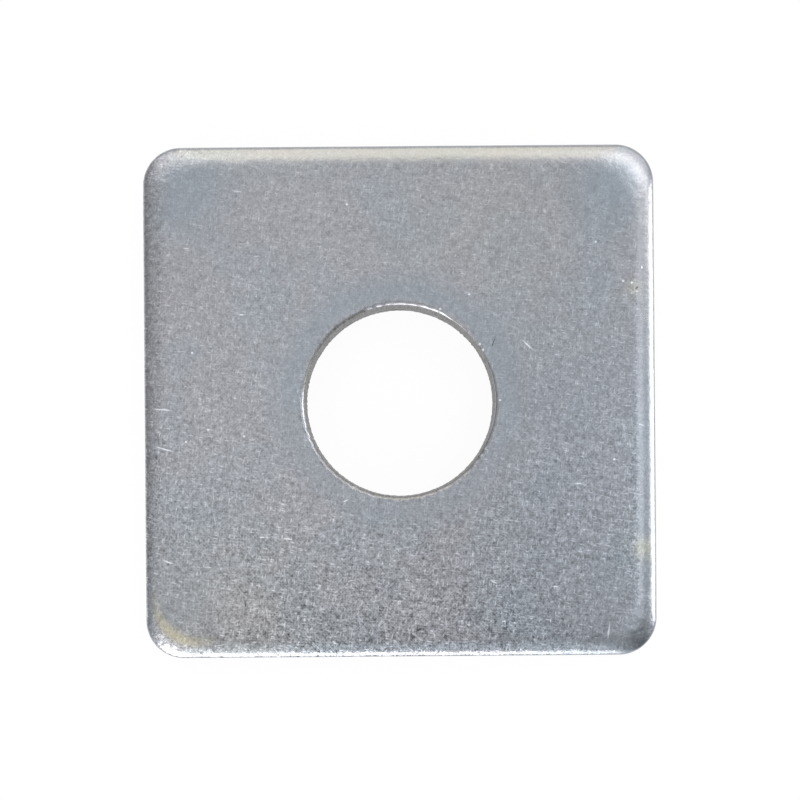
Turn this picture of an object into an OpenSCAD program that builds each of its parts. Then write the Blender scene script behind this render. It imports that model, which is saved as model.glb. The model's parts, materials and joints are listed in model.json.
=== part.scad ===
// Square plate washer, blanked and pierced from steel strip in one press stroke, then zinc plated.
// The press leaves the same kind of wall round the outside and in the hole: at the near face (+Z) the
// metal is drawn down in a smooth roll, below the roll it is sheared to a straight bright land, and
// below the land it is torn and leans away from the die. Tumbling dulls the edges of the far face.
// Frame: +Z leaves the near face, and the origin is on the hole's axis in the far face.

/* [Plate] */
// Side of the square, across its sheared land
side = 30; // [24:0.5:60]
// Thickness of the steel strip
thickness = 3; // [2.4:0.1:6]
// Radius of the four corners, seen from above
corner_r = 2.2; // [1.8:0.1:6]

/* [Bolt hole] */
// Diameter of the hole, across its sheared land
hole_d = 11.2; // [6:0.1:18]

/* [Blanked edge] */
// Width of the roll round the outside of the near face
edge_roll_w = 1.4; // [0.6:0.05:1.7]
// Depth of that roll, from the near face down to the land
edge_roll_h = 0.45; // [0.2:0.01:0.8]
// Height of the sheared land round the outside
edge_land_h = 1.1; // [0.4:0.05:1.4]
// How far the torn wall leans in between the land and the far face
edge_tear = 0.08; // [0.02:0.01:0.2]

/* [Pierced edge] */
// Width of the roll round the hole in the near face
hole_roll_w = 0.3; // [0.2:0.05:1.5]
// Depth of that roll, from the near face down to the land
hole_roll_h = 0.2; // [0.08:0.01:0.5]
// Height of the sheared land in the hole
hole_land_h = 1.2; // [0.5:0.05:1.6]
// How far the torn wall opens out between the land and the far face
hole_tear = 0.06; // [0.02:0.01:0.2]

/* [Far face] */
// Radius that tumbling leaves on both edges of the far face
far_edge_r = 0.1; // [0.05:0.01:0.25]

/* [Hidden] */
// Fineness of the round walls and of the rolls
$fn = 96;
// How far the hole's section runs past both faces
past = 1;

hole_r = hole_d / 2;
// Half of a side's straight run, which is also where the corners' centres are
straight = side / 2 - corner_r;

// The upper outer quarter of an ellipse about the origin: the section of a roll.
module roll_section(roll_w, roll_h) {
    intersection() {
        scale([roll_w, roll_h])
            circle(r = 1);
        square([roll_w, roll_h]);
    }
}

// The lower outer quarter of a circle about the origin: the section of a dulled far edge.
module far_edge_section() {
    mirror([0, 1])
        intersection() {
            circle(r = far_edge_r);
            square([far_edge_r, far_edge_r]);
        }
}

// The plate's rim in section, from a corner's centre line at x = 0 out to the land at x = corner_r.
module rim_section() {
    land_top = thickness - edge_roll_h;
    land_foot = land_top - edge_land_h;
    foot = corner_r - edge_tear;
    square([foot - far_edge_r, far_edge_r]);
    translate([foot - far_edge_r, far_edge_r])
        far_edge_section();
    polygon([
        [0, far_edge_r], [foot, far_edge_r], [corner_r, land_foot], [corner_r, land_top], [0, land_top]
    ]);
    translate([0, land_top])
        square([corner_r - edge_roll_w, edge_roll_h]);
    translate([corner_r - edge_roll_w, land_top])
        roll_section(edge_roll_w, edge_roll_h);
}

// Half of the hole in section, from its axis at x = 0 out to the land at x = hole_r and past both faces.
module hole_section() {
    land_top = thickness - hole_roll_h;
    land_foot = land_top - hole_land_h;
    foot = hole_r + hole_tear;
    difference() {
        polygon([
            [0, -past], [foot + far_edge_r, -past], [foot + far_edge_r, far_edge_r], [foot, far_edge_r],
            [hole_r, land_foot], [hole_r, land_top], [hole_r + hole_roll_w, land_top],
            [hole_r + hole_roll_w, thickness + past], [0, thickness + past]
        ]);
        translate([hole_r + hole_roll_w, land_top])
            mirror([1, 0])
                roll_section(hole_roll_w, hole_roll_h);
        translate([foot + far_edge_r, far_edge_r])
            mirror([1, 0])
                far_edge_section();
    }
}

// The blank: a square block, with the rim run along its four sides and turned round its four corners.
module blank() {
    translate([-straight, -straight, 0])
        cube([2 * straight, 2 * straight, thickness]);
    for (turn = [0:90:270])
        rotate([0, 0, turn])
            translate([straight, straight, 0]) {
                rotate([90, 0, 0])
                    linear_extrude(height = 2 * straight)
                        rim_section();
                rotate_extrude(angle = 90)
                    rim_section();
            }
}

// The washer: the blank with the bolt hole pierced through its middle.
module plate_washer() {
    color([0.64, 0.66, 0.68])
        difference() {
            blank();
            rotate_extrude()
                hole_section();
        }
}

plate_washer();
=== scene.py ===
import json
import math

import bpy
import numpy as np
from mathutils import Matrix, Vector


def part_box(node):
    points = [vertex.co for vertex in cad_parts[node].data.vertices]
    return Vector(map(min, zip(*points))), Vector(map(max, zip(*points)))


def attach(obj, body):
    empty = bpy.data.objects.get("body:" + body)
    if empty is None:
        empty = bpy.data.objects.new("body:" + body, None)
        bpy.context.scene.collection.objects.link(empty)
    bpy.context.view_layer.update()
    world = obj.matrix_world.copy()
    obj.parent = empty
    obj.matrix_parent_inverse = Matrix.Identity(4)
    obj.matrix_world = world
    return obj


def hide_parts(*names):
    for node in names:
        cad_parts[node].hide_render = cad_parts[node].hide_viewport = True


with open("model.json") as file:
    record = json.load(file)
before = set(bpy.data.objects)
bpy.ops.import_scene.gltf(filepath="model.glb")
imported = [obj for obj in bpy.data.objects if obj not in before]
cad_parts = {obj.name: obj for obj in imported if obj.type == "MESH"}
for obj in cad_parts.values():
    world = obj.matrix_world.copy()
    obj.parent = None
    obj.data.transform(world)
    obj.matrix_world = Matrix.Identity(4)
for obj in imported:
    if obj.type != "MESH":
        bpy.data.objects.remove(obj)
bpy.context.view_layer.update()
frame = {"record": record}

# The washer's steel: one plate of cold-rolled strip, blanked and pierced in a single press stroke, which
# draws both edges of the near face down in a roll and leaves walls that are sheared above and torn below.
# Nothing is fixed to it: it lies on its far face.
MM = 0.001
low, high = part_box("plate_washer")
half_side = (high[0] - low[0]) / MM / 2
thickness = (high[2] - low[2]) / MM
hole_r = next(m["dims"]["r_mm"] for m in frame["record"]["mounts"] if m["name"] == "bolt_hole")
corner_r = 2.2
far_edge_r = 0.1
# The outer wall. Its roll is wider and deeper at a corner: its inner line turns in a larger radius
edge_roll_w, edge_roll_h, edge_land_h, edge_tear = 1.4, 0.45, 1.1, 0.08
inner_corner_r, corner_more_h, corner_reach = 3.1, 0.1, 2.6
# The hole's wall
hole_roll_w, hole_roll_h, hole_land_h, hole_tear = 0.3, 0.2, 1.2, 0.06


def rounded_square(inset, radius, side_steps=72, corner_steps=40):
    """Stations round a square inside the plate's own, as complex numbers x + iy. Along a side the corner's
    centre slides and the outward direction stands still, and round a corner the centre stands still and
    the direction turns by a right angle. One quarter is worked out and turned three times. Returns each
    station's place, outward direction, share of the way round, and distance along from the nearest corner's
    middle."""
    straight = half_side - inset - radius
    slide = np.linspace(-straight, straight, side_steps, endpoint=False)
    turn = np.linspace(0, math.pi / 2, corner_steps, endpoint=False)
    outward = np.r_[np.ones(side_steps), np.exp(1j * turn)]
    centre = np.r_[straight + 1j * slide, np.full(corner_steps, straight * (1 + 1j))]
    run = np.r_[slide + straight, 2 * straight + radius * turn]
    quarter_run = 2 * straight + radius * math.pi / 2
    past_corner = run - (quarter_run - radius * math.pi / 4)
    from_corner = np.minimum(np.abs(past_corner), np.abs(past_corner + quarter_run))
    quarters = np.array([[1], [1j], [-1], [-1j]])
    share = (run / quarter_run + np.arange(4)[:, None]) / 4
    columns = (quarters * (centre + radius * outward), quarters * outward, share, np.tile(from_corner, 4))
    return [column.reshape(-1, 1) for column in columns]


def ripple(share, height, most_turns, most_pitch, seed, waves=48):
    """An uneven height of about -1 to 1: many sine waves added up, each with its own whole number of turns
    round the outline, so that its ends meet, and its own pitch down the wall, in cycles a millimetre."""
    draw = np.random.default_rng(seed)
    turns = draw.integers(1, most_turns, waves)
    pitch = draw.uniform(-most_pitch, most_pitch, waves)
    phase = draw.uniform(0, 1, waves)
    cycles = share[..., None] * turns + height[..., None] * pitch + phase
    return np.sin(2 * math.pi * cycles).sum(-1) / math.sqrt(2 * waves)


def rise(value, start, full):
    """0 up to start, 1 from full on, and a smooth S between them."""
    t = ((value - start) / (full - start)).clip(0, 1)
    return t * t * (3 - 2 * t)


def band(value, start, full, falling, end):
    """0 up to start, 1 from full to falling, 0 from end on, and a smooth S on both slopes."""
    return rise(value, start, full) * (1 - rise(value, falling, end))


def bell(distance, reach):
    """1 at no distance, about a third at the reach, and next to nothing at twice the reach."""
    return np.exp(-((distance / reach) ** 2))


def sheared_wall(share, roll_h, land_h, tear, scuff_and_shade, seed):
    """A wall's section at every station, from the near face to the far one. The roll is a quarter ellipse,
    the land is straight, faintly scored down its height and uneven at its foot, the torn wall leans back
    and is pitted, and the far edge is a quarter circle that wavers. Where the roll takes a scuff, half of
    the land's darker finish reaches up over it, and all of it from a scuff of 1.5 on: a painted shade that
    dims the roll's highlight, and a rougher finish. Returns the share of the roll's width, the depth behind
    the land, the height, and where the wall is land and torn."""
    foot_waver, score_depth, pit_depth, edge_waver = 0.11, 0.004, 0.05, 0.02
    land_from, scuff_reach, fade = 1.45, 1.1, 5
    roll = np.linspace(0, math.pi / 2, 30)
    down = np.linspace(0, 1, 8)[1:]
    torn = np.linspace(0, 1, 17)[1:]
    edge = np.linspace(0, math.pi / 2, 7)[1:]
    even = 0 * share
    no_roll, no_land, no_torn, no_edge = (0 * part + even for part in (roll, down, torn, edge))
    land_h = land_h * (1 + foot_waver * ripple(share, even, 130, 0, seed))
    land_top = thickness - roll_h
    land_foot = land_top - land_h
    score = score_depth * (1 + ripple(share, even, 420, 0, seed + 1)).clip(0)
    torn_height = land_foot + (far_edge_r - land_foot) * torn
    pits = pit_depth * (0.5 + 0.5 * ripple(share + no_torn, torn_height, 300, 2.5, seed + 2)).clip(0)
    ragged = edge_waver * ripple(share, even, 240, 0, seed + 3).clip(-2, 2)
    rolled = [1 - np.sin(roll) + even, no_land, no_torn, no_edge]
    behind = [
        no_roll,
        score * np.sin(math.pi * down),
        tear * torn + pits * np.sin(math.pi * torn) + ragged * torn**3,
        tear + far_edge_r * (1 - np.cos(edge)) + ragged,
    ]
    height = [
        thickness - roll_h * (1 - np.cos(roll)),
        land_top - land_h * down,
        torn_height,
        far_edge_r * (1 - np.sin(edge)) + even,
    ]
    rubbed_and_shaded = (0.55 + 0.45 * rise(scuff_and_shade, 1, 1.5)) * (roll > land_from - scuff_reach * scuff_and_shade.clip(0, 1))
    is_land = [
        np.maximum(roll > land_from, rubbed_and_shaded),
        1 + no_land,
        (1 - fade * torn).clip(0) + even,
        no_edge,
    ]
    is_torn = [no_roll, no_land, (fade * torn).clip(0, 1) + even, 1 - np.sin(edge) + even]
    return [np.hstack(rows) for rows in (rolled, behind, height, is_land, is_torn)]


def washer_surface():
    """The whole skin as a closed grid: stations round the outline by steps round the section. The section
    runs out over the near face, down the outer wall, in over the far face and up the hole's wall. A roll
    runs straight from a station of the outline to the same station of its inner line, and a hole's station
    lies in that one's direction from the middle. The hole's roll is uneven, slight on a stretch towards +X
    and +Y, and worn on one towards -X and +Y. There, along -Y and in places along +Y it takes a scuff: the
    land's darker finish, a painted shade that dims its highlight. Returns the points, the faces, and where
    the skin is land and torn."""
    outline, outward, share, from_corner = rounded_square(0, corner_r)
    inner = rounded_square(edge_roll_w, inner_corner_r)[0]
    toward = inner / np.abs(inner)
    bearing = np.angle(toward, deg=True)
    even = 0 * share
    edge_uneven, hole_uneven = 0.02, 0.18
    edge_waver = 1 + edge_uneven * ripple(share, even, 24, 0, 5)
    edge_h = edge_roll_h * (1 + corner_more_h * bell(from_corner, corner_reach)) * edge_waver
    # Where the hole's roll takes the land's darker finish, a painted shade that dims its highlight: the
    # slight stretch, the half towards -Y, dashes along +Y and, in full, the worn stretch
    slight = band(bearing, 15, 30, 56, 66)
    worn = band(bearing, 104, 116, 168, 180)
    hole_waver = (1 + hole_uneven * ripple(share, even, 70, 0, 6)) * (1 - 0.55 * slight - 0.3 * worn)
    broken = rise(toward.imag, 0.3, 0.7) * ripple(share, even, 90, 0, 7)
    scuff_and_shade = (slight + 0.85 * rise(-toward.imag, 0.2, 0.6) + 1.2 * broken).clip(0, 1) + 1.25 * worn
    rim_rolled, rim_behind, *rim_rows = sheared_wall(share, edge_h, edge_land_h, edge_tear, even, 11)
    hole_rolled, hole_behind, *hole_rows = sheared_wall(
        share, hole_roll_h * hole_waver, hole_land_h, hole_tear, scuff_and_shade, 21
    )
    rim = outline - outward * rim_behind + (inner - outline) * rim_rolled * edge_waver
    hole = (hole_r + hole_behind + hole_roll_w * hole_waver * hole_rolled) * toward
    across = np.linspace(0, 1, 42)[1:-1]
    near = hole[:, :1] + (rim[:, :1] - hole[:, :1]) * across
    far = rim[:, -1:] + (hole[:, -1:] - rim[:, -1:]) * across[::2]
    place = np.hstack([near, rim, far, hole[:, ::-1]])
    height, land, torn = (
        np.hstack([level + 0 * near.real, rim_row, 0 * far.real, hole_row[:, ::-1]])
        for level, rim_row, hole_row in zip((thickness, 0, 0), rim_rows, hole_rows)
    )
    points = np.stack([place.real, place.imag, height], -1)
    stations, steps = place.shape
    here = np.arange(stations * steps).reshape(stations, steps)
    onward = np.roll(here, -1, 0)
    faces = np.stack([here, np.roll(here, -1, 1), np.roll(onward, -1, 1), onward], -1)
    return points.reshape(-1, 3), faces.reshape(-1, 4), land.ravel(), torn.ravel()


points, faces, land, torn = washer_surface()
x, y, z = points.T
place = x + 1j * y
near_half = z > thickness / 2
# How far inside the outline a point is: a square's distance, rounded at the corners
beyond = np.abs(points[:, :2]) - (half_side - corner_r)
depth = corner_r - np.hypot(*beyond.clip(0).T) - beyond.max(1).clip(None, 0)
# Shallow hollows that the press leaves round the hole and inside the corners, widest at +X and -Y
hollow_inset = 2.6
hollow_r = 2.4 + 0.9 * (x > 0) * (y < 0)
from_hollow = np.abs(np.abs(x) + 1j * np.abs(y) - (half_side - hollow_inset) * (1 + 1j))
hollow_corner = bell(from_hollow, hollow_r) * rise(depth, 0.6, 1.4)
hollow_hole = band(np.abs(place) - hole_r, 0.1, 0.4, 0.9, 2.6)
hollow = np.maximum(hollow_corner, 0.85 * hollow_hole)
# The bath's film is bluest in those hollows, most of all towards +Y, and on the part towards +X and -Y. A
# blue stripe also runs along the roll at -Y
blue_hollow = 0.5 * hollow * (1.2 + 0.06 * y).clip(0.3, 2)
blue_stripe = 0.6 * band(-y, 13.95, 14.3, 14.55, 14.75) * (1 - rise(np.abs(x), 12.2, 13.6)) * near_half
blue_part = 0.34 * rise(x, 2, 9) * (1 - rise(y, 1, 6))
blue = np.maximum(np.maximum(blue_hollow, blue_stripe), blue_part)
# Yellow: a lighter yellow arc inside the corner at -X and -Y, and faint stains left by the passivating bath,
# each with its place, reach and strength
arc_centre, arc_r, arc_w = -11.8 - 11.4j, 2.62, 0.34
arc_middle, arc_reach = -13.2 - 13.6j, 1.9
stains = ((14.2 - 8.7j, 0.6, 0.5), (13.7 + 6.5j, 0.5, 0.35), (-9.5 - 12.5j, 4.5, 0.12), (6 + 10j, 5.5, 0.07))
yellow_tint = bell(np.abs(place - arc_centre) - arc_r, arc_w) * bell(np.abs(place - arc_middle), arc_reach)
for stain, reach, strength in stains:
    yellow_tint = np.maximum(yellow_tint, strength * bell(np.abs(place - stain), reach))
yellow_tint = yellow_tint * near_half
# Tumbling marks the flats. The marks grow stronger towards -Y. In the relief that is wear, and in the colour
# it is a painted glint for the sparkle that the low light in front raises there. The hollows and the stains
# take fewer marks, and so do the rolls: they are most sheltered towards +X and +Y, and hardly at -X and in
# the middle of -Y
on_roll = rise(thickness - z, 0.001, 0.025) * near_half
sheltered = 0.3 + 0.4 * rise(x + y / 2, -10, 6)
sheltered = sheltered - 0.55 * rise(-x - (-y).clip(0) / 3, 10.5, 12.5)
sheltered = sheltered - 0.35 * rise(-y, 13, 14) * (1 - rise(np.abs(x - 2), 8, 11))
tumbled_and_glint = (1 - 0.45 * hollow) * (0.5 + 0.29 * np.exp(-0.1 * y)) * (1 - np.maximum(land, torn))
tumbled_and_glint = tumbled_and_glint * (1 - 0.5 * yellow_tint) * (1 - sheltered * on_roll)
# It also burnishes the outer land. The hole's land is left darker, a painted shade for the darker
# surroundings that it mirrors. The outer roll is a little uneven, since the strip's skin crumples where it
# is drawn down
outer = np.abs(place) > 2 * hole_r
burnished = land * outer
uneven = on_roll * outer * (1 - np.maximum(land, torn))
states = {
    "land": land,
    "torn": torn,
    "burnished": burnished,
    "uneven": uneven,
    "tumbled_and_glint": tumbled_and_glint,
    "blue": blue,
    "yellow_tint": yellow_tint,
}
skin = bpy.data.meshes.new("plate_washer_skin")
skin.from_pydata((points * MM).tolist(), [], faces.tolist())
for name, values in states.items():
    skin.attributes.new(name, "FLOAT", "POINT").data.foreach_set("value", values.astype(np.float32))
skin.polygons.foreach_set("use_smooth", np.ones(len(faces), dtype=bool))
skin.update()
washer = bpy.data.objects.new("square_washer", skin)
bpy.context.collection.objects.link(washer)
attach(washer, "root")
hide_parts("plate_washer")


# The washer's finish: zinc a few thousandths of a millimetre thick, plated on to the whole plate in a
# barrel, so that its flat faces carry the dents and strokes of tumbling against other washers. A thin
# passivating film on the zinc tints it blue, and leaves faint yellow stains where the bath drained last.
def node(tree, kind, values=(), **settings):
    """A shader node with its settings, and with its inputs set to constants or linked to other sockets."""
    made = tree.nodes.new("ShaderNode" + kind)
    for name, value in settings.items():
        setattr(made, name, value)
    for key, value in dict(values).items():
        if isinstance(value, bpy.types.NodeSocket):
            tree.links.new(value, made.inputs[key])
        else:
            made.inputs[key].default_value = value
    return made


def maths(tree, operation, first, second, third=0.0):
    """The result of one sum on two or three numbers or sockets."""
    return node(tree, "Math", {0: first, 1: second, 2: third}, operation=operation).outputs[0]


def vector_maths(tree, operation, *values):
    """The result of one sum on vectors, as constants or sockets."""
    return node(tree, "VectorMath", dict(enumerate(values)), operation=operation).outputs[0]


def smooth_step(tree, value, at_none, at_full):
    """0 at one value, 1 at another, and a smooth S between them."""
    ends = {0: value, 1: at_none, 2: at_full, 3: 0.0, 4: 1.0}
    return node(tree, "MapRange", ends, interpolation_type="SMOOTHSTEP").outputs[0]


def mixed(tree, share, first, second):
    """A colour that goes from the first to the second with the share."""
    colours = {"Factor": share, "A": first, "B": second}
    return node(tree, "Mix", colours, data_type="RGBA").outputs["Result"]


def shader_group(name, inputs):
    """An empty node group with its named inputs and a mask as its output, and its input and output ends."""
    group = bpy.data.node_groups.new(name, "ShaderNodeTree")
    for socket, kind in inputs.items():
        group.interface.new_socket(socket, in_out="INPUT", socket_type="NodeSocket" + kind)
    group.interface.new_socket("Mask", in_out="OUTPUT", socket_type="NodeSocketFloat")
    return group, group.nodes.new("NodeGroupInput").outputs, group.nodes.new("NodeGroupOutput").inputs


def stretched(group, given):
    """A group's vector, turned by its angle and divided by its length along and its width across."""
    turning = {"Vector": given["Vector"], "Angle": given["Angle"]}
    turned = node(group, "VectorRotate", turning, rotation_type="Z_AXIS")
    cell = node(group, "CombineXYZ", {"X": given["Length"], "Y": given["Width"], "Z": 1.0})
    return vector_maths(group, "DIVIDE", turned.outputs[0], cell.outputs[0])


# Hatching: a dense pattern of light and dark lines at one angle, from about -0.5 to 0.5
lines = {"Vector": "Vector", "Angle": "Float", "Length": "Float", "Width": "Float"}
hatching, given, result = shader_group("hatching", lines)
clouds = {"Vector": stretched(hatching, given), "Scale": 1.0, "Detail": 0.0}
cloud = node(hatching, "TexNoise", clouds, noise_dimensions="2D")
hatching.links.new(maths(hatching, "SUBTRACT", cloud.outputs["Fac"], 0.5), result["Mask"])

# Strokes: short bright lines scattered at one angle. Each cell of a pattern stretched along the angle may
# hold one, and Share says how many do
strokes, given, result = shader_group("strokes", lines | {"Share": "Float"})
cells = node(
    strokes, "TexVoronoi", {"Vector": stretched(strokes, given), "Scale": 1.0}, voronoi_dimensions="2D"
)
core = smooth_step(strokes, cells.outputs["Distance"], 0.42, 0.1)
chance = node(strokes, "SeparateColor", {0: cells.outputs["Color"]})
held = maths(strokes, "LESS_THAN", chance.outputs[0], given["Share"])
strength = maths(strokes, "MULTIPLY_ADD", chance.outputs[1], 0.7, 0.3)
mask = maths(strokes, "MULTIPLY", maths(strokes, "MULTIPLY", core, held), strength)
strokes.links.new(mask, result["Mask"])

# Patch: one oval at a place, turned to its bearing, that fades out towards its half sizes
ovals = {"Vector": "Vector", "Place": "Vector", "Bearing": "Float", "Half Sizes": "Vector"}
patch, given, result = shader_group("patch", ovals)
offset = vector_maths(patch, "SUBTRACT", given["Vector"], given["Place"])
turning = {"Vector": offset, "Angle": given["Bearing"]}
turned = node(patch, "VectorRotate", turning, rotation_type="Z_AXIS", invert=True)
reached = vector_maths(patch, "DIVIDE", turned.outputs[0], given["Half Sizes"])
away = node(patch, "VectorMath", {0: reached}, operation="LENGTH")
patch.links.new(smooth_step(patch, away.outputs["Value"], 1.0, 0.3), result["Mask"])


def effect(tree, group, vector, **values):
    """One use of a node group on a vector, with its own values."""
    named = {name.replace("_", " "): value for name, value in values.items()}
    return node(tree, "Group", {"Vector": vector} | named, node_tree=group).outputs["Mask"]


zinc = bpy.data.materials.new("barrel_zinc")
zinc.use_nodes = True
tree = zinc.node_tree
tree.nodes.clear()
spot = node(tree, "TexCoord").outputs["Object"]
spot_mm = node(tree, "VectorMath", {0: spot, "Scale": 1 / MM}, operation="SCALE").outputs[0]
wear = {name: node(tree, "Attribute", attribute_name=name).outputs["Fac"] for name in states}
wall = maths(tree, "ADD", wear["land"], wear["torn"])
# The far face carries another stretch of the same patterns
height_mm = node(tree, "SeparateXYZ", {0: spot_mm}).outputs["Z"]
far_half = maths(tree, "LESS_THAN", height_mm, thickness / 2)
face_mm = vector_maths(tree, "MULTIPLY_ADD", far_half, (47.0, 31.0, 0.0), spot_mm)


def noise(scale, detail, roughness=0.5, vector=spot_mm):
    """A cloudy pattern of about 0 to 1, with a number of clouds a millimetre."""
    values = {"Vector": vector, "Scale": scale, "Detail": detail, "Roughness": roughness}
    return node(tree, "TexNoise", values).outputs["Fac"]


def weighted(start, *pairs):
    """A start with several patterns added to it, each times its strength."""
    total = start
    for pattern, strength in pairs:
        total = maths(tree, "MULTIPLY_ADD", pattern, strength, total)
    return total


def folded(operation, values):
    """Several sockets taken together, one sum after another."""
    total = values[0]
    for value in values[1:]:
        total = maths(tree, operation, total, value)
    return total


def crossed(group, angles, **values):
    """The sum of several uses of a line pattern on the faces, each at its own angle in degrees."""
    ways = [math.radians(angle) for angle in angles]
    return folded("ADD", [effect(tree, group, face_mm, Angle=way, **values) for way in ways])


# Tumbling leaves a dense hatching in every direction, a scatter of bright nicks, and a few longer strokes
# that lie mostly along X
hatch = crossed(hatching, (4, 49, 95, 138), Length=0.42, Width=0.085)
nicks = crossed(strokes, (12, 101), Length=0.5, Width=0.11, Share=0.18)
long_strokes = crossed(strokes, (3, -11, 17, 80), Length=1.2, Width=0.12, Share=0.03)
# Single scratches that stand out on the near face: x, y, bearing in degrees, length and perhaps half width
bright_scratches = (
    (-6.6, -8.0, -10, 0.75), (-8.1, -7.9, 0, 0.5), (-13.6, -9.3, -21, 0.9), (-13.9, -0.4, -5, 1.5),
    (-13.8, -2.7, -16, 1.5), (-9.2, 5.1, 0, 0.4), (-3.2, -5.8, 25, 0.5), (-3.9, -14.1, -40, 0.5),
    (10.4, -4.9, 0, 0.5), (5.4, -10.6, -30, 0.55), (7.5, 3.2, -43, 1.1), (12.1, -13.5, 82, 1.3),
    (14.2, 7.7, 90, 0.25), (9.0, -10.9, 0, 0.5),
)
# Bright specks: the four on the hole's rim, about 5.7 from the middle, are painted glints of its roll, and
# the rest are bright nicks
bright_specks = (
    (-11.2, -1.6), (-9.1, -2.0), (-12.5, -2.3), (-3.0, 11.5), (-12.1, 2.9), (11.5, 9.2), (12.5, -3.5),
    (9.8, -6.7), (6.0, -12.9), (6.6, -13.0), (13.1, 6.9), (13.6, 6.8), (4.7, 3.28), (4.88, 2.95),
    (2.4, 5.35), (5.85, 0.0), (4.1, 6.2),
)
faint_scratches = (
    (-13.9, 6.5, 0, 0.7), (-14.4, 8.4, 0, 0.5), (-12.4, 9.0, 0, 0.5), (-8.3, 8.5, 0, 0.6),
    (-9.4, 12.3, -5, 0.7), (-12.6, -11.1, 0, 0.6), (6.3, -7.0, -5, 0.9), (-2.6, -5.0, 0, 0.6),
    (0.8, -7.2, 0, 0.8), (13.7, -5.5, -14, 1.0), (14.1, -1.5, -20, 0.7), (13.6, 6.2, 0, 0.4),
    (13.9, 6.3, 0, 0.35),
)
dark_scratches = (
    (-9.1, -11.9, 95, 1.1), (-9.1, -11.1, 0, 0.4), (5.5, 3.4, 70, 0.9, 0.04), (13.9, 6.5, 35, 0.35),
)


def scratch_mark(x, y, bearing, length, half_w=0.06):
    """A scratch in the near face, which reaches a little way down over its rolled edges."""
    way = math.radians(bearing)
    half_sizes = (length / 2, half_w, 0.6)
    return effect(tree, patch, spot_mm, Place=(x, y, thickness), Bearing=way, Half_Sizes=half_sizes)


def scratched(marks):
    """The strongest of several scratches at each spot."""
    return folded("MAXIMUM", [scratch_mark(*mark) for mark in marks])


speck_length, speck_half_w = 0.2, 0.09
specks = tuple((*speck, 0, speck_length, speck_half_w) for speck in bright_specks)
bright = scratched(bright_scratches + specks)
faint = scratched(faint_scratches)
dark = scratched(dark_scratches)
grain = maths(tree, "SUBTRACT", noise(5.5, 2.0, 0.6), 0.5)
mottle = maths(tree, "SUBTRACT", noise(1.5, 2.0), 0.5)
# The land is streaked down its height and darkened by about half, a painted shade for the darker
# surroundings that the hole's wall mirrors, and the torn wall is dark and gritty
down_wall = vector_maths(tree, "MULTIPLY", spot_mm, (1.0, 1.0, 0.06))
land_streaks_and_shade = maths(tree, "MULTIPLY_ADD", noise(8.0, 2.0, 0.6, down_wall), 0.9, -0.95)
torn_wall = vector_maths(tree, "MULTIPLY", spot_mm, (1.0, 1.0, 0.45))
torn_grit = maths(tree, "MULTIPLY_ADD", noise(4.5, 3.0, 0.7, torn_wall), 1.35, -1.15)
# How light the metal is: the marks of tumbling on its plain shade, then the scratches and the walls. The
# marks' growth towards -Y is a painted glint, and the land's darkening a painted shade
tumbling = weighted(0.0, (grain, 0.6), (mottle, 0.4), (hatch, 0.46), (nicks, 0.7), (long_strokes, 0.4))
plain_shade = 1.025
shade = weighted(
    plain_shade,
    (wear["tumbled_and_glint"], tumbling),
    (bright, 1.3),
    (faint, 0.55),
    (dark, -0.75),
    (wear["land"], land_streaks_and_shade),
    (wear["burnished"], 0.33),
    (wear["torn"], torn_grit),
)
# Its colour: the film's drifting greys, under the blue, the yellow and the bare grey of the walls
film = node(tree, "ValToRGB", {0: noise(0.25, 3.0)})
film_greys = (
    (0.35, (0.370, 0.394, 0.430, 1)),
    (0.50, (0.384, 0.395, 0.424, 1)),
    (0.65, (0.389, 0.391, 0.420, 1)),
)
film.color_ramp.elements.new(0.5)
for stop, (position, grey) in zip(film.color_ramp.elements, film_greys):
    stop.position = position
    stop.color = grey
film_blue = (0.332, 0.371, 0.418, 1)
tint_yellow = (0.620, 0.585, 0.455, 1)
wall_grey = (0.388, 0.384, 0.382, 1)
tint = mixed(tree, wear["blue"], film.outputs[0], film_blue)
tint = mixed(tree, wear["yellow_tint"], tint, tint_yellow)
tint = mixed(tree, wall, tint, wall_grey)
colour = node(tree, "VectorMath", {0: tint, "Scale": shade}, operation="SCALE")
plain_roughness = 0.26
roughness = weighted(plain_roughness, (wall, 0.27), (wear["burnished"], -0.17), (mottle, 0.1))
# Its fine relief: the dents of tumbling, the grit of the torn wall and the crumpled roll
dents = weighted(0.0, (grain, 0.6), (hatch, 0.4))
crumple = weighted(0.0, (mottle, 5.0), (grain, 1.0))
relief = weighted(0.0, (wear["tumbled_and_glint"], dents), (wear["torn"], torn_grit), (wear["uneven"], crumple))
bumps = node(tree, "Bump", {"Height": relief, "Strength": 0.22, "Distance": 0.02 * MM})
surface = node(tree, "BsdfPrincipled", {
    "Base Color": colour.outputs[0], "Metallic": 1.0, "Roughness": roughness, "Normal": bumps.outputs[0],
})
node(tree, "OutputMaterial", {"Surface": surface.outputs["BSDF"]})
skin.materials.append(zinc)

# The floor: a plain white table top under the washer. It shows as white to the camera and in the metal, and
# keeps a share of plain white paint that takes the washer's shadow.
floor_half = 0.6
floor_gap = 0.00002
glow_share = 0.93
corners = [(-1, -1), (1, -1), (1, 1), (-1, 1)]
floor_points = [(across * floor_half, along * floor_half, -floor_gap) for across, along in corners]
floor_mesh = bpy.data.meshes.new("floor")
floor_mesh.from_pydata(floor_points, [], [(0, 1, 2, 3)])
floor = bpy.data.objects.new("floor", floor_mesh)
bpy.context.collection.objects.link(floor)
paint = bpy.data.materials.new("white_table")
paint.use_nodes = True
tree = paint.node_tree
tree.nodes.clear()
rays = node(tree, "LightPath")
seen = maths(tree, "MAXIMUM", rays.outputs["Is Camera Ray"], rays.outputs["Is Glossy Ray"])
seen = maths(tree, "MAXIMUM", seen, rays.outputs["Is Transmission Ray"])
glowing = maths(tree, "MULTIPLY", seen, glow_share)
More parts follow.
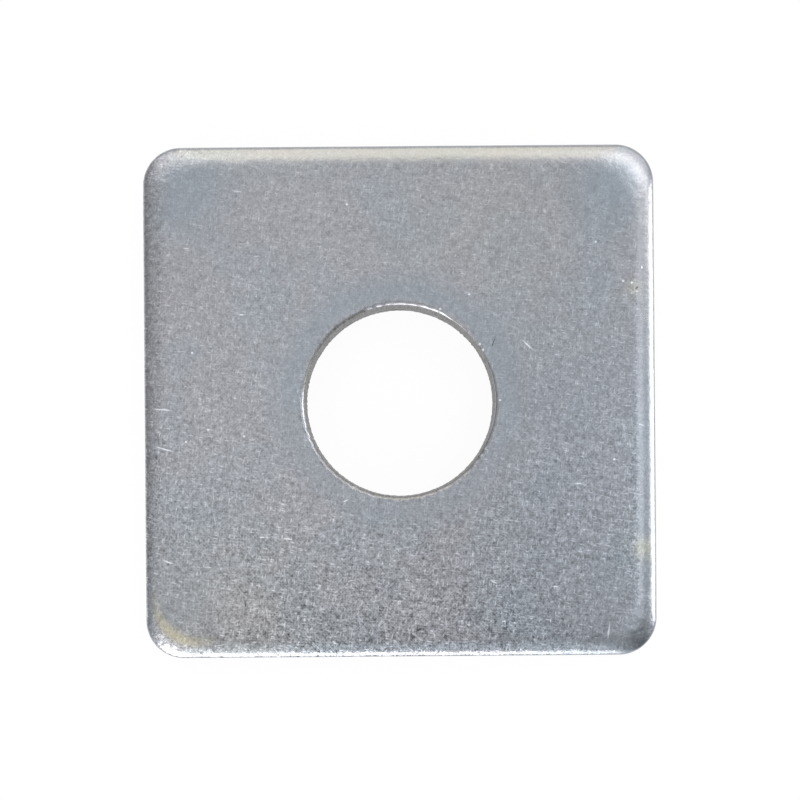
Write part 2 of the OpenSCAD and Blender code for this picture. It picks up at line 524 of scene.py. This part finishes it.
matt = node(tree, "BsdfDiffuse", {"Color": (0.9, 0.9, 0.9, 1)})
glow = node(tree, "Emission", {"Color": (1, 1, 1, 1), "Strength": 1.01})
both = node(tree, "MixShader", {0: glowing, 1: matt.outputs[0], 2: glow.outputs[0]})
node(tree, "OutputMaterial", {"Surface": both.outputs[0]})
floor_mesh.materials.append(paint)

# The studio: a pale room that is darker on the left and in a few patches. A cream reflector stands behind
# the washer, bright windows are low in front of it, on the right and behind on the right, and paler walls
# and a strip of light stand between them. To the camera it is plain white.
room = bpy.data.worlds.new("room")
bpy.context.scene.world = room
room.use_nodes = True
tree = room.node_tree
tree.nodes.clear()
direction = node(tree, "TexCoord").outputs["Generated"]
parts = node(tree, "SeparateXYZ", {0: direction})
level = 1.0
# Dark patches: bearing, how far out, half sizes along and across the bearing, and share of light lost
dark_patches = (
    (-45, 0.8, 0.62, 0.3, 0.68), (147, 0.47, 0.14, 0.2, 0.62), (-86, 0.27, 0.18, 0.75, 0.41),
    (-19, 0.55, 0.08, 0.2, 0.35),
)
any_height = 100
for bearing, out, half_along, half_across, loss in dark_patches:
    way = math.radians(bearing)
    middle = (out * math.cos(way), out * math.sin(way), 0)
    half_sizes = (half_along, half_across, any_height)
    shadow = effect(tree, patch, direction, Place=middle, Bearing=way, Half_Sizes=half_sizes)
    level = maths(tree, "MULTIPLY", level, maths(tree, "MULTIPLY_ADD", shadow, -loss, 1.0))
# Even changes across the room: along which axis, from where to where, and the light at both
changes = (
    ("X", -0.9, -0.3, 0.45, 0.95), ("X", -0.05, 0.2, 1.0, 0.78),
    ("Y", -0.45, -0.25, 0.88, 1.0), ("Y", 0.1, 0.3, 1.0, 0.88),
)
for axis, first, last, at_first, at_last in changes:
    change = node(tree, "MapRange", {0: parts.outputs[axis], 1: first, 2: last, 3: at_first, 4: at_last})
    level = maths(tree, "MULTIPLY", level, change.outputs[0])
to_right = node(tree, "MapRange", {0: parts.outputs["X"], 1: -0.1, 2: 0.3, 3: 0.0, 4: 1.0})
cooler = mixed(tree, to_right.outputs[0], (1, 1, 1, 1), (0.95, 0.99, 1.03, 1))
rays = node(tree, "LightPath")
walls = node(tree, "Background", {"Color": cooler, "Strength": level})
backdrop = node(tree, "Background", {"Color": (1, 1, 1, 1), "Strength": 1.0})
views = {0: rays.outputs["Is Camera Ray"], 1: walls.outputs[0], 2: backdrop.outputs[0]}
both = node(tree, "MixShader", views)
node(tree, "OutputWorld", {"Surface": both.outputs[0]})


def soft_box(name, azimuth, tilt, wide, tall, level, colour):
    """A rectangular area lamp that faces the washer from a bearing and a tilt from straight up, in degrees.
    Its sizes are the half angles that it covers, and its level is its brightness as the metal shows it."""
    away = 0.4
    bearing, lean = math.radians(azimuth), math.radians(tilt)
    data = bpy.data.lights.new(name, "AREA")
    data.shape = "RECTANGLE"
    data.size = 2 * away * math.tan(math.radians(wide))
    data.size_y = 2 * away * math.tan(math.radians(tall))
    data.energy = level * math.pi * data.size * data.size_y
    data.color = colour
    lamp = bpy.data.objects.new(name, data)
    lamp.location = (
        away * math.sin(lean) * math.cos(bearing),
        away * math.sin(lean) * math.sin(bearing),
        away * math.cos(lean),
    )
    lamp.rotation_euler = (lean, 0, bearing + math.pi / 2)
    lamp.visible_camera = False
    bpy.context.collection.objects.link(lamp)


# The lamps: bearing, tilt, half angles across and up, level and colour
white = (1.0, 1.0, 1.0)
warm_white = (0.99, 0.965, 0.945)
soft_box("cream_reflector", 92, 53.5, 19, 21, 0.96, (1.0, 0.905, 0.65))
soft_box("back_left_wall", 124, 53, 9, 22, 0.74, (1.0, 0.98, 0.98))
soft_box("back_right_window", 47, 39, 9, 8, 1.9, (1.0, 0.975, 0.935))
soft_box("back_right_wall", 52, 58, 17, 20, 0.72, warm_white)
soft_box("front_window", 257, 71.5, 30, 15, 2.6, white)
soft_box("front_left_window", 235, 57, 10, 15, 2.2, white)
soft_box("front_right_wall", -70, 41, 6, 8, 0.45, (0.95, 0.98, 1.0))
soft_box("right_window", 0, 70, 18, 16, 3.0, warm_white)
soft_box("right_back_window", 25, 48, 5, 5, 2.2, warm_white)
soft_box("right_strip", -11, 26, 14, 4, 1.45, (0.95, 0.99, 1.0))

# The camera: a lens close above the washer that looks straight down past its front half. The frame is
# shifted to put the washer in its middle, and turned a little, as the washer lies in the photograph.
frame_w = 46.7
frame_shift = 0.061125
eye_x, eye_y, eye_above = -0.01, -2.8, 60.6
washer_turn = math.radians(0.45)
eye = bpy.data.cameras.new("camera")
eye.sensor_width = 36
eye.lens = eye.sensor_width * eye_above / frame_w
eye.shift_y = frame_shift
eye.clip_start = 0.001
camera = bpy.data.objects.new("camera", eye)
camera.location = (eye_x * MM, eye_y * MM, (thickness + eye_above) * MM)
camera.rotation_euler = (0, 0, -washer_turn)
bpy.context.collection.objects.link(camera)
bpy.context.scene.camera = camera
bpy.context.scene.view_settings.view_transform = "Standard"
